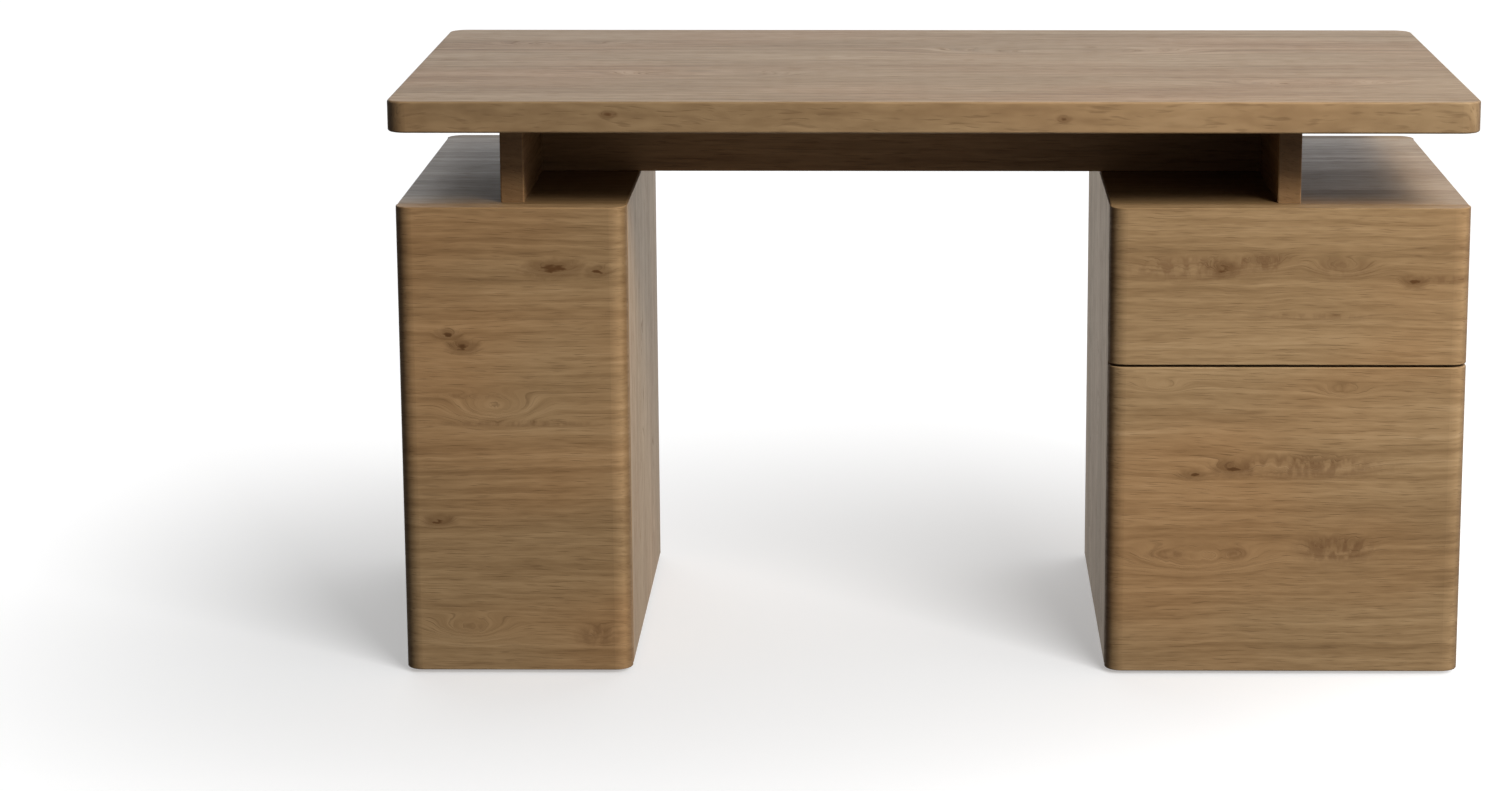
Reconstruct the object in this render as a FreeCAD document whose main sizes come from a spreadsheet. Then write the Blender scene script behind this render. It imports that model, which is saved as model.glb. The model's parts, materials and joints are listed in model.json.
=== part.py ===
import FreeCAD, Part
import os
import re
import Sketcher

# A floating-top pedestal desk in oak: a slab carried by an H-shaped frame on two pedestals,
# a door in the left pedestal, a drawer and a file drawer in the right one.
# X runs along the desk to the right, Y to its back, Z up from the floor under its middle.

# Driving sizes in millimetres
SIZES = {
    # the whole desk
    "desk_width": 1372,
    "desk_depth": 711,
    "desk_height": 762,
    # the slab
    "slab_thickness": 40,
    "slab_corner_radius": 25,
    "slab_edge_radius": 3,
    # the pedestals
    "pedestal_depth": 600,
    "left_width": 295,
    "right_width": 460,
    "corner_radius": 22,
    "panel_thickness": 20,
    "front_thickness": 26,
    "back_thickness": 26,
    "front_gap": 2.6,
    "joint_ease": 3,
    "mitre_ease": 2,
    "front_ease": 1.5,
    # the frame between the pedestals and the slab
    "riser_height": 104,
    "riser_thickness": 30,
    "riser_inset": 38,
    "riser_ease": 2,
    "beam_thickness": 30,
    # fastenings of the frame
    "bolt_radius": 4,
    "bolt_margin": 92,
    "bolt_flange_radius": 9,
    "bolt_flange_height": 2,
    "bolt_head_radius": 6.5,
    "bolt_head_height": 7,
    "bolt_socket_radius": 3.4,
    "bolt_socket_depth": 4,
    "bolt_grip": 20,
    "insert_wall": 2.5,
    "insert_length": 24,
    "fastener_clearance": 0.1,
    "beam_dowel_radius": 5,
    "beam_dowel_reach": 18,
    "beam_dowel_margin": 24,
    "back_dowel_radius": 4,
    "back_dowel_reach": 15,
    "back_dowel_margin": 116,
    "dowel_end_room": 1,
    # the glides under the pedestals
    "glide_height": 6,
    "glide_radius": 14,
    "glide_ease": 1.5,
    "glide_inset": 45,
    "glide_stem_radius": 4,
    "glide_stem_length": 12,
    # the shelf in the left pedestal
    "shelf_height": 322,
    "shelf_thickness": 20,
    "shelf_setback": 15,
    "shelf_play": 0.5,
    "shelf_ease": 1.5,
    "pin_radius": 2.5,
    "pin_reach": 9,
    "pin_inset": 60,
    "pin_pitch": 32,
    # the door's butt hinges
    "hinge_length": 60,
    "hinge_margin": 70,
    "hinge_inset": 2.9,
    "knuckle_radius": 2.7,
    "knuckle_gap": 0.3,
    "hinge_pin_radius": 1.2,
    "hinge_pin_play": 0.05,
    "hinge_tip_radius": 1.9,
    "hinge_tip_height": 1.2,
    "leaf_thickness": 1.2,
    "leaf_width": 16,
    "leaf_room": 0.4,
    "hinge_screw_radius": 1.7,
    "hinge_screw_head_radius": 2.9,
    "hinge_screw_length": 18,
    "hinge_screw_margin": 12,
    # the push-to-open catches
    "catch_width": 16,
    "catch_length": 34,
    "catch_ease": 1.5,
    "catch_setback": 2,
    "catch_drop": 40,
    "plunger_radius": 4,
    "plunger_play": 0.3,
    "plunger_length": 30,
    "plunger_bore_depth": 29,
    "plunger_tip_ease": 1.2,
    "strike_radius": 7,
    "strike_thickness": 1.5,
    # the drawers
    "upper_front_height": 204,
    "drawer_gap": 3,
    "box_wall": 14,
    "box_ease": 1.5,
    "box_back_room": 42,
    "box_bottom_thickness": 8,
    "box_bottom_lift": 10,
    "groove_depth": 6,
    "groove_play": 0.2,
    "tail_width": 18,
    "tail_taper": 2.5,
    "upper_box_lift": 26,
    "upper_box_headroom": 20,
    "file_box_lift": 34,
    "file_box_headroom": 71,
    "divider_depth": 80,
    "divider_thickness": 20,
    "front_screw_radius": 2,
    "front_screw_length": 30,
    "front_screw_head_radius": 4.2,
    "front_screw_head_height": 2.4,
    "front_screw_margin": 30,
    "rail_thickness": 3,
    "rail_height": 16,
    "rail_seat_depth": 12,
    "rail_seat_reach": 8,
    "rail_side_room": 21.3,
    # the telescopic drawer slides
    "slide_thickness": 12.7,
    "slide_height": 45,
    "slide_setback": 3,
    "slide_end_room": 0.4,
    "slide_steel": 1.2,
    "slide_play": 0.4,
    "slide_lip": 1.6,
    "slide_outer_depth": 9,
    "slide_middle_depth": 10.7,
    "slide_slot_length": 14,
    "slide_slot_width": 5,
    "slide_slot_margin": 58,
    # how far a cutting tool runs past the piece that it cuts
    "overrun": 5,
}

# Places and sizes worked out from the driving ones
PLACES = {
    "slab_underside": "desk_height - slab_thickness",
    "pedestal_height": "slab_underside - riser_height",
    "front_face": "-pedestal_depth / 2",
    "back_face": "pedestal_depth / 2",
    "front_back": "front_face + front_thickness",
    "case_front": "front_back + front_gap",
    "case_back": "back_face - back_thickness",
    "left_low": "-desk_width / 2",
    "left_high": "left_low + left_width",
    "right_high": "desk_width / 2",
    "right_low": "right_high - right_width",
    "left_middle": "(left_low + left_high) / 2",
    "right_middle": "(right_low + right_high) / 2",
    "left_inside_low": "left_low + panel_thickness",
    "left_inside_high": "left_high - panel_thickness",
    "right_inside_low": "right_low + panel_thickness",
    "right_inside_high": "right_high - panel_thickness",
    "case_bottom": "glide_height",
    "floor_inside": "case_bottom + panel_thickness",
    "ceiling_inside": "pedestal_height - panel_thickness",
    "riser_front": "front_face + riser_inset",
    "riser_back": "back_face - riser_inset",
    "bolt_hole_radius": "bolt_radius + fastener_clearance",
    "insert_radius": "bolt_radius + insert_wall",
    "insert_hole_radius": "insert_radius + fastener_clearance",
    "bolt_top": "slab_underside + bolt_grip",
    "hinge_x": "left_low + hinge_inset",
    "hinge_y": "front_back + front_gap / 2",
    "upper_front_low": "pedestal_height - upper_front_height",
    "file_front_high": "upper_front_low - drawer_gap",
    "upper_box_low": "upper_front_low + upper_box_lift",
    "upper_box_high": "ceiling_inside - upper_box_headroom",
    "file_box_low": "case_bottom + file_box_lift",
    "file_box_high": "file_front_high - file_box_headroom",
    "box_low": "right_inside_low + slide_thickness",
    "box_high": "right_inside_high - slide_thickness",
    "box_back": "case_back - box_back_room",
    "slide_front": "case_front + slide_setback",
    "slide_back": "box_back - slide_end_room",
    "upper_slide_centre": "(upper_box_low + upper_box_high) / 2",
    "file_slide_centre": "(file_box_low + file_box_high) / 2",
    "front_corner_radius": "min(corner_radius; front_thickness - joint_ease - front_ease / 2)",
    "back_corner_radius": "min(corner_radius; back_thickness - joint_ease - front_ease / 2)",
    "divider_middle": "upper_front_low - drawer_gap / 2",
    "shelf_pin_z": "shelf_height - pin_radius",
    "shelf_front": "case_front + shelf_setback",
}

doc = FreeCAD.newDocument("FloatingTopDesk")
sheet_of = {}
pieces = []
TOUCH = 0.01
ROWS_OF_PIN_HOLES = (-1, 0, 1)
KNUCKLES = 5
UPPER_TAILS = 4
FILE_TAILS = 8


# Sheets, formulas and places

def fill_sheet(name, cells):
    sheet = doc.addObject("Spreadsheet::Sheet", name)
    for row, (alias, content) in enumerate(cells.items(), 1):
        text = str(content)
        if isinstance(content, str):
            text = "=" + formula(content)
        sheet.set(f"A{row}", alias)
        sheet.set(f"B{row}", text)
        sheet.setAlias(f"B{row}", alias)
        sheet_of[alias] = f"{name}.{alias}"
    doc.recompute()
    return sheet


def formula(text):
    """Writes each size's plain name as a reference to its cell."""
    return re.sub(r"[a-z]\w+", lambda word: sheet_of.get(word[0], word[0]), text)


def value(text):
    """The present value of a formula."""
    return float(places.evalExpression(formula(text)))


def bind(item, **formulas):
    for name, text in formulas.items():
        item.setExpression(name, formula(text))
    return item


def put(item, x, y, z):
    for axis, text in zip("xyz", (x, y, z)):
        item.setExpression("Placement.Base." + axis, formula(text))
    return item


def piece(label, item):
    """Marks an object as a finished piece of the desk."""
    item.Label = label
    pieces.append(item)
    return item


# Solids

def block(name, x, y, z):
    """A box between two places along each axis."""
    item = doc.addObject("Part::Box", name)
    sides = [f"({high}) - ({low})" for low, high in (x, y, z)]
    bind(item, Length=sides[0], Width=sides[1], Height=sides[2])
    return put(item, x[0], y[0], z[0])


TURNS = {
    "x": FreeCAD.Rotation(FreeCAD.Vector(0, 1, 0), 90),
    "-x": FreeCAD.Rotation(FreeCAD.Vector(0, 1, 0), -90),
    "y": FreeCAD.Rotation(FreeCAD.Vector(1, 0, 0), -90),
    "-y": FreeCAD.Rotation(FreeCAD.Vector(1, 0, 0), 90),
    "z": FreeCAD.Rotation(),
}


def rod(name, axis, start, radius, length):
    """A cylinder from a start point along an axis."""
    item = doc.addObject("Part::Cylinder", name)
    item.Placement.Rotation = TURNS[axis]
    bind(item, Radius=radius, Height=length)
    return put(item, *start)


def taper(name, axis, start, near_radius, far_radius, length):
    """A cone frustum from a start point along an axis."""
    item = doc.addObject("Part::Cone", name)
    item.Placement.Rotation = TURNS[axis]
    bind(item, Radius1=near_radius, Radius2=far_radius, Height=length)
    return put(item, *start)


def group(name, items):
    item = doc.addObject("Part::Compound", name)
    item.Links = items
    return item


def fuse(name, items):
    item = doc.addObject("Part::MultiFuse", name)
    item.Shapes = items
    item.Refine = True
    return item


def cut(name, base, tools):
    item = doc.addObject("Part::Cut", name)
    item.Base = base
    item.Tool = group(name + "_tools", tools)
    return item


def mirror(name, source, x):
    """The source seen in an upright mirror across the desk at x."""
    item = doc.addObject("Part::Mirroring", name)
    item.Source = source
    item.Normal = FreeCAD.Vector(1, 0, 0)
    item.setExpression("Base.x", formula(x))
    return item


def prism(name, plane, outline, length, start):
    """A body padded from an outline of straight sides; XZ outlines grow to the front."""
    body = doc.addObject("PartDesign::Body", name + "_body")
    sketch = body.newObject("Sketcher::SketchObject", name + "_outline")
    support = next(item for item in body.Origin.OriginFeatures if item.Role == plane)
    sketch.AttachmentSupport = (support, [""])
    sketch.MapMode = "FlatFace"
    corners = [FreeCAD.Vector(value(u), value(v), 0) for u, v in outline]
    count = len(corners)
    for index in range(count):
        sketch.addGeometry(Part.LineSegment(corners[index], corners[(index + 1) % count]))
    for index in range(count):
        sketch.addConstraint(Sketcher.Constraint("Coincident", index, 2, (index + 1) % count, 1))
    for index, texts in enumerate(outline):
        for kind, text in zip(("DistanceX", "DistanceY"), texts):
            limit = Sketcher.Constraint(kind, -1, 1, index, 1, value(text))
            number = sketch.addConstraint(limit)
            sketch.setExpression(f"Constraints[{number}]", formula(text))
    pad = body.newObject("PartDesign::Pad", name + "_pad")
    pad.Profile = sketch
    bind(pad, Length=length)
    body.Tip = pad
    return put(body, *start)


def board(name, x, y, z):
    """A rectangle in plan padded upwards between two places along each axis."""
    width = f"({x[1]}) - ({x[0]})"
    depth = f"({y[1]}) - ({y[0]})"
    outline = (("0", "0"), (width, "0"), (width, depth), ("0", depth))
    return prism(name, "XY_Plane", outline, f"({z[1]}) - ({z[0]})", (x[0], y[0], z[0]))


def in_face(edge, shape, side):
    """True when an edge lies in one side of the shape's box, such as -y."""
    axis = side[1].upper()
    end = "Min" if side[0] == "-" else "Max"
    limit = getattr(shape.BoundBox, axis + end)
    ends = [getattr(edge.BoundBox, axis + "Min"), getattr(edge.BoundBox, axis + "Max")]
    return max(abs(place - limit) for place in ends) < TOUCH


def ease(body, kind, size, sides):
    """Fillets or chamfers the edges that lie in all the named box sides of any entry."""
    doc.recompute()
    base = body.Tip
    names = []
    for number, edge in enumerate(base.Shape.Edges, 1):
        if any(all(in_face(edge, base.Shape, side) for side in entry.split()) for entry in sides):
            names.append(f"Edge{number}")
    item = body.newObject("PartDesign::" + kind, f"{body.Name}_{kind}_{size}")
    item.Base = (base, names)
    item.setExpression("Radius" if kind == "Fillet" else "Size", formula(size))
    body.Tip = item
    return body


# The slab and the frame under it

def bolt_places():
    """The riser bolts in plan, with the case that each stands on."""
    ys = ("riser_front + bolt_margin", "riser_back - bolt_margin")
    return [(case, f"{case}_middle", y) for case in ("left", "right") for y in ys]


def make_desktop():
    body = board("desktop", ("left_low", "right_high"), ("-desk_depth / 2", "desk_depth / 2"),
                     ("slab_underside", "desk_height"))
    ease(body, "Fillet", "slab_corner_radius", ("-x -y", "+x -y", "-x +y", "+x +y"))
    ease(body, "Fillet", "slab_edge_radius", ("-z", "+z"))
    holes = [rod("insert_hole", "z", (x, y, "slab_underside - overrun"), "insert_hole_radius",
                 "insert_length + dowel_end_room + overrun") for case, x, y in bolt_places()]
    piece("desktop", cut("desktop", body, holes))


def make_inserts():
    inserts = []
    for case, x, y in bolt_places():
        start = (x, y, "slab_underside")
        outside = rod("insert_outside", "z", start, "insert_radius", "insert_length")
        bore = rod("insert_bore", "z", (x, y, "slab_underside - overrun"), "bolt_hole_radius",
                   "insert_length + overrun * 2")
        inserts.append(cut("insert", outside, [bore]))
    piece("desktop_inserts", group("desktop_inserts", inserts))


def make_bolts():
    bolts = []
    for case, x, y in bolt_places():
        flange_low = "ceiling_inside - bolt_flange_height"
        head_low = flange_low + " - bolt_head_height"
        shank = rod("bolt_shank", "z", (x, y, flange_low), "bolt_radius", f"bolt_top - ({flange_low})")
        flange = rod("bolt_flange", "z", (x, y, flange_low), "bolt_flange_radius", "bolt_flange_height")
        head = rod("bolt_head", "z", (x, y, head_low), "bolt_head_radius", "bolt_head_height")
        socket = doc.addObject("Part::Prism", "bolt_socket")
        socket.Polygon = 6
        bind(socket, Circumradius="bolt_socket_radius", Height="bolt_socket_depth + overrun")
        put(socket, x, y, head_low + " - overrun")
        bolts.append(cut("bolt", fuse("bolt_blank", [shank, flange, head]), [socket]))
    piece("riser_bolts", group("riser_bolts", bolts))


def bolt_holes(case):
    return [rod("bolt_hole", "z", (x, y, "ceiling_inside - overrun"), "bolt_hole_radius",
                "slab_underside - ceiling_inside + overrun * 2")
            for owner, x, y in bolt_places() if owner == case]


def beam_dowels(radius, spare):
    """Rods along X across both joints of the beam with the risers."""
    rods = []
    for face in ("left_middle + riser_thickness / 2", "right_middle - riser_thickness / 2"):
        for z in ("pedestal_height + beam_dowel_margin", "slab_underside - beam_dowel_margin"):
            start = (f"{face} - beam_dowel_reach - ({spare})", "0", z)
            rods.append(rod("beam_dowel", "x", start, radius, f"(beam_dowel_reach + {spare}) * 2"))
    return rods


def make_frame():
    holes = beam_dowels("beam_dowel_radius + fastener_clearance", "dowel_end_room")
    tall = ("pedestal_height", "slab_underside")
    for case in ("left", "right"):
        wide = (f"{case}_middle - riser_thickness / 2", f"{case}_middle + riser_thickness / 2")
        body = board(f"{case}_riser", wide, ("riser_front", "riser_back"), tall)
        ease(body, "Fillet", "riser_ease", ("-x -y", "+x -y", "-x +y", "+x +y"))
        piece(f"{case}_riser", cut(f"{case}_riser", body, bolt_holes(case) + holes))
    span = ("left_middle + riser_thickness / 2", "right_middle - riser_thickness / 2")
    body = board("cross_beam", span, ("-beam_thickness / 2", "beam_thickness / 2"), tall)
    ease(body, "Fillet", "riser_ease", ("-y -z", "+y -z"))
    piece("cross_beam", cut("cross_beam", body, holes))
    piece("beam_dowels", group("beam_dowels", beam_dowels("beam_dowel_radius", "0")))


# The pedestal cases

def mitred_outline(long_side):
    """A panel with both ends mitred and its outer corners eased; it lies on its outer face."""
    tip = "mitre_ease / 2"
    return (("mitre_ease", "0"), (f"{long_side} - mitre_ease", "0"), (f"{long_side} - {tip}", tip),
            (f"{long_side} - panel_thickness", "panel_thickness"), ("panel_thickness", "panel_thickness"),
            (tip, tip))


def turned(outline, facing):
    """Turns a lying panel outline to face one side of the case."""
    turns = {
        "low": lambda u, v: (v, u),
        "high": lambda u, v: (f"-({v})", u),
        "bottom": lambda u, v: (u, v),
        "top": lambda u, v: (u, f"-({v})"),
    }
    return tuple(turns[facing](u, v) for u, v in outline)


def case_panel(case, name, facing):
    wide = f"{case}_width"
    tall = "(pedestal_height - case_bottom)"
    long_side = tall if facing in ("low", "high") else wide
    start = {
        "low": (f"{case}_low", "case_back", "case_bottom"),
        "high": (f"{case}_high", "case_back", "case_bottom"),
        "bottom": (f"{case}_low", "case_back", "case_bottom"),
        "top": (f"{case}_low", "case_back", "pedestal_height"),
    }[facing]
    outline = turned(mitred_outline(long_side), facing)
    body = prism(name, "XZ_Plane", outline, "case_back - case_front", start)
    if facing in ("low", "high"):
        outer = "-x" if facing == "low" else "+x"
        ease(body, "Chamfer", "joint_ease", (f"-y {outer}",))
    return body


def back_dowels(case, radius, spare):
    """Rods along Y across the joint of the case sides with the back panel."""
    rods = []
    for x in (f"{case}_low + panel_thickness / 2", f"{case}_high - panel_thickness / 2"):
        for z in ("case_bottom + back_dowel_margin", "pedestal_height - back_dowel_margin"):
            start = (x, f"case_back - back_dowel_reach - ({spare})", z)
            rods.append(rod("back_dowel", "y", start, radius, f"(back_dowel_reach + {spare}) * 2"))
    return rods


def glide_places(case):
    xs = (f"{case}_low + glide_inset", f"{case}_high - glide_inset")
    ys = ("case_front + glide_inset", "case_back - glide_inset")
    return [(x, y) for x in xs for y in ys]


def make_glides(case):
    glides = []
    for x, y in glide_places(case):
        foot = taper("glide_foot", "z", (x, y, "0"), "glide_radius - glide_ease", "glide_radius",
                     "glide_ease")
        disc = rod("glide_disc", "z", (x, y, "glide_ease"), "glide_radius", "glide_height - glide_ease")
        stem = rod("glide_stem", "z", (x, y, "glide_ease"), "glide_stem_radius",
                   "glide_height - glide_ease + glide_stem_length")
        glides.append(fuse("glide", [foot, disc, stem]))
    piece(f"{case}_glides", group(f"{case}_glides", glides))


def make_case(case, low_name, high_name):
    dowel_holes = back_dowels(case, "back_dowel_radius + fastener_clearance", "dowel_end_room")
    stem_holes = [rod("glide_hole", "z", (x, y, "case_bottom - overrun"),
                      "glide_stem_radius + fastener_clearance",
                      "glide_stem_length + dowel_end_room + overrun") for x, y in glide_places(case)]
    more_holes = {low_name: [], high_name: []}
    if case == "left":
        more_holes[low_name] = hinge_pockets() + hinge_screws("y", "fastener_clearance")
        for holes in more_holes.values():
            holes += shelf_pin_holes()
    top = case_panel(case, f"{case}_case_top", "top")
    piece(f"{case}_case_top", cut(f"{case}_case_top", top, bolt_holes(case)))
    bottom = case_panel(case, f"{case}_case_bottom", "bottom")
    piece(f"{case}_case_bottom", cut(f"{case}_case_bottom", bottom, stem_holes))
    for name, facing in ((low_name, "low"), (high_name, "high")):
        side = case_panel(case, name, facing)
        piece(name, cut(name, side, dowel_holes + more_holes[name]))
    back_name = f"{case}_back_panel"
    back = rounded_panel(back_name, case, "case_back", "back_face", "case_bottom", "pedestal_height")
    piece(back_name, cut(back_name, back, dowel_holes))
    make_glides(case)


def make_back_dowels():
    dowels = [dowel for case in ("left", "right") for dowel in back_dowels(case, "back_dowel_radius", "0")]
    piece("back_dowels", group("back_dowels", dowels))


def rounded_panel(name, case, near, far, low, high):
    """A front or a back with rounded upright corners outside and eased joint edges inside."""
    shows_front = near == "front_face"
    outside, inside = ("-y", "+y") if shows_front else ("+y", "-y")
    body = board(name, (f"{case}_low", f"{case}_high"), (near, far), (low, high))
    ease(body, "Chamfer", "joint_ease", (f"{inside} -x", f"{inside} +x"))
    radius = "front_corner_radius" if shows_front else "back_corner_radius"
    ease(body, "Fillet", radius, (f"{outside} -x", f"{outside} +x"))
    ease(body, "Fillet", "front_ease", (f"{outside} -z", f"{outside} +z"))
    return body


# The shelf and its pins

def shelf_pin_places():
    ys = ("shelf_front + pin_inset", "case_back - pin_inset")
    walls = (("left_inside_low", "x"), ("left_inside_high", "-x"))
    return [(wall, inward, y) for wall, inward in walls for y in ys]


def shelf_pin_holes():
    """Rows of holes in both case sides, so that the shelf can be moved."""
    holes = []
    for wall, inward, y in shelf_pin_places():
        outward = "-x" if inward == "x" else "x"
        start_x = f"{wall} {'+' if inward == 'x' else '-'} overrun"
        for step in ROWS_OF_PIN_HOLES:
            z = f"shelf_pin_z + pin_pitch * {step}"
            holes.append(rod("pin_hole", outward, (start_x, y, z), "pin_radius + fastener_clearance",
                             "pin_reach + dowel_end_room + overrun"))
    return holes


def make_shelf():
    play = "shelf_play"
    across = (f"left_inside_low + {play}", f"left_inside_high - {play}")
    body = board("left_shelf", across, ("shelf_front", f"case_back - {play}"),
                 ("shelf_height", "shelf_height + shelf_thickness"))
    ease(body, "Fillet", "shelf_ease", ("-y -z", "-y +z"))
    piece("left_shelf", body)
    pins = []
    for wall, inward, y in shelf_pin_places():
        sign = "-" if inward == "x" else "+"
        start = (f"{wall} {sign} pin_reach", y, "shelf_pin_z")
        pins.append(rod("shelf_peg", inward, start, "pin_radius", "pin_reach * 2"))
    piece("shelf_pins", group("shelf_pins", pins))


# The door and its hinges

def hinge_lows():
    """The low ends of the two hinges."""
    return ("case_bottom + hinge_margin", "pedestal_height - hinge_margin - hinge_length")


def hinge_pockets():
    """Round rebates for the knuckles, let into the case side and the door alike."""
    return [rod("knuckle_pocket", "z", ("hinge_x", "hinge_y", f"{low} - leaf_room - hinge_tip_height"),
                "knuckle_radius + leaf_room", "hinge_length + (leaf_room + hinge_tip_height) * 2")
            for low in hinge_lows()]


def hinge_screws(axis, spare):
    """Countersunk screws from the leaf face into the case side (y) or the door (-y)."""
    sign = "+" if axis == "y" else "-"
    face = f"hinge_y {sign} (front_gap / 2 - leaf_thickness)"
    x = "hinge_x + knuckle_radius + leaf_room + (leaf_width - knuckle_radius - leaf_room) / 2"
    screws = []
    for low in hinge_lows():
        for z in (f"{low} + hinge_screw_margin", f"{low} + hinge_length - hinge_screw_margin"):
            head = taper("hinge_screw_head", axis, (x, face, z), f"hinge_screw_head_radius + {spare}",
                         f"hinge_screw_radius + {spare}", "leaf_thickness")
            shank = rod("hinge_screw_shank", axis, (x, face, z), f"hinge_screw_radius + {spare}",
                        f"hinge_screw_length + {spare}")
            screws.append(fuse("hinge_screw", [head, shank]))
    return screws


def hinge_leaf(low, axis, knuckles):
    """One leaf: a plate in the gap, with its own share of the knuckles on the pin's line."""
    plate_y = ("hinge_y + front_gap / 2 - leaf_thickness", "hinge_y + front_gap / 2")
    if axis == "-y":
        plate_y = ("hinge_y - front_gap / 2", "hinge_y - front_gap / 2 + leaf_thickness")
    plate_x = "hinge_x + knuckle_radius + leaf_room"
    solids = [block("leaf_plate", (plate_x, "hinge_x + leaf_width"), plate_y, (low, f"{low} + hinge_length"))]
    pitch = f"hinge_length / {KNUCKLES}"
    for number in knuckles:
        bottom = f"{low} + {pitch} * {number} + knuckle_gap / 2"
        tall = f"{pitch} - knuckle_gap"
        solids.append(rod("knuckle", "z", ("hinge_x", "hinge_y", bottom), "knuckle_radius", tall))
        solids.append(block("knuckle_tab", ("hinge_x", plate_x), plate_y, (bottom, f"{bottom} + {tall}")))
    bore = rod("knuckle_bore", "z", ("hinge_x", "hinge_y", f"{low} - overrun"),
               "hinge_pin_radius + hinge_pin_play", "hinge_length + overrun * 2")
    return cut("leaf", fuse("leaf_blank", solids), [bore] + hinge_screws(axis, "hinge_pin_play"))


def make_hinges():
    whole = range(KNUCKLES)
    leaves = (("hinge_case_leaves", "y", whole[::2]), ("hinge_door_leaves", "-y", whole[1::2]))
    for label, axis, knuckles in leaves:
        piece(label, group(label, [hinge_leaf(low, axis, knuckles) for low in hinge_lows()]))
    for label, axis in (("hinge_case_screws", "y"), ("hinge_door_screws", "-y")):
        piece(label, group(label, hinge_screws(axis, "0")))
    pins = []
    for low in hinge_lows():
        shank = rod("hinge_pin", "z", ("hinge_x", "hinge_y", low), "hinge_pin_radius", "hinge_length")
        tip_lows = (f"{low} + knuckle_gap / 2 - hinge_tip_height", f"{low} + hinge_length - knuckle_gap / 2")
        tips = [rod("hinge_tip", "z", ("hinge_x", "hinge_y", z), "hinge_tip_radius", "hinge_tip_height")
                for z in tip_lows]
        pins.append(fuse("hinge_pin_whole", [shank] + tips))
    piece("hinge_pins", group("hinge_pins", pins))


def make_door():
    body = rounded_panel("door", "left", "front_face", "front_back", "case_bottom", "pedestal_height")
    piece("door", cut("door", body, hinge_pockets() + hinge_screws("-y", "fastener_clearance")))


# Push-to-open catches: a bored block and a sprung plunger that rests on the closed front

def catch(name, x, z, block_front, tip):
    """A catch whose plunger points to the front; the block's bore is closed at its back."""
    body = board(f"{name}_catch", (f"{x} - catch_width / 2", f"{x} + catch_width / 2"),
                     (block_front, f"{block_front} + catch_length"),
                     (f"{z} - catch_width / 2", f"{z} + catch_width / 2"))
    ease(body, "Fillet", "catch_ease", ("-x -y", "+x -y", "-z -y", "+z -y"))
    bore = rod(f"{name}_catch_bore", "y", (x, f"{block_front} - overrun", z), "plunger_radius + plunger_play",
               "plunger_bore_depth + overrun")
    nose = taper("plunger_nose", "y", (x, tip, z), "plunger_radius - plunger_tip_ease", "plunger_radius",
                 "plunger_tip_ease")
    stem = rod("plunger_stem", "y", (x, f"{tip} + plunger_tip_ease", z), "plunger_radius",
               "plunger_length - plunger_tip_ease")
    piece(f"{name}_catch_plunger", fuse(f"{name}_catch_plunger", [nose, stem]))
    return cut(f"{name}_catch_block", body, [bore])


def make_catches():
    strike_x = "left_inside_high - catch_width / 2"
    strike_z = "ceiling_inside - catch_drop"
    strike = rod("door_strike", "y", (strike_x, "front_back", strike_z), "strike_radius", "strike_thickness")
    piece("door_strike_plate", strike)
    door_block = catch("door", strike_x, strike_z, "case_front + catch_setback",
                       "front_back + strike_thickness + plunger_play")
    piece("door_catch_block", door_block)
    blocks = [catch(name, "right_middle", f"{name}_slide_centre", "case_back - catch_length",
                    "box_back + plunger_play") for name in ("upper", "file")]
    piece("drawer_catch_blocks", group("drawer_catch_blocks", blocks))


# The drawers

def make_drawer(name, front_label, front_low, front_high, tails):
    low, high = f"{name}_box_low", f"{name}_box_high"
    seats = rail_seats() if name == "file" else []
    screws = front_screws(name, "fastener_clearance")
    front = rounded_panel(front_label, "right", "front_face", "front_back", front_low, front_high)
    piece(front_label, cut(front_label, front, screws))
    groove = drawer_bottom(name, "groove_play")
    sides = {
        "left": ("box_low", "box_low + box_wall"),
        "right": ("box_high - box_wall", "box_high"),
    }
    ends = {
        "front": ("front_back", "front_back + box_wall", screws + seats),
        "back": ("box_back", "box_back - box_wall", seats),
    }
    dovetails = {(side, end): [dovetail(name, x, ends[end], number, tails) for number in range(tails)]
                 for side, x in sides.items() for end in ends}
    for end, (outer, inner, holes) in ends.items():
        label = f"{name}_box_{end}"
        y = (outer, inner) if end == "front" else (inner, outer)
        body = board(label, ("box_low", "box_high"), y, (low, high))
        ease(body, "Fillet", "box_ease", ("+z -y", "+z +y"))
        sockets = dovetails["left", end] + dovetails["right", end]
        piece(label, cut(label, body, [groove] + holes + sockets))
    for side, x in sides.items():
        label = f"{name}_box_{side}_side"
        body = board(label, x, ("front_back + box_wall", "box_back - box_wall"), (low, high))
        ease(body, "Fillet", "box_ease", ("+z -x", "+z +x"))
        whole = fuse(f"{label}_dovetailed", [body] + dovetails[side, "front"] + dovetails[side, "back"])
        piece(label, cut(label, whole, [groove]))
    piece(f"{name}_box_bottom", drawer_bottom(name, "0"))
    piece(f"{name}_front_screws", group(f"{name}_front_screws", front_screws(name, "0")))


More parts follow.
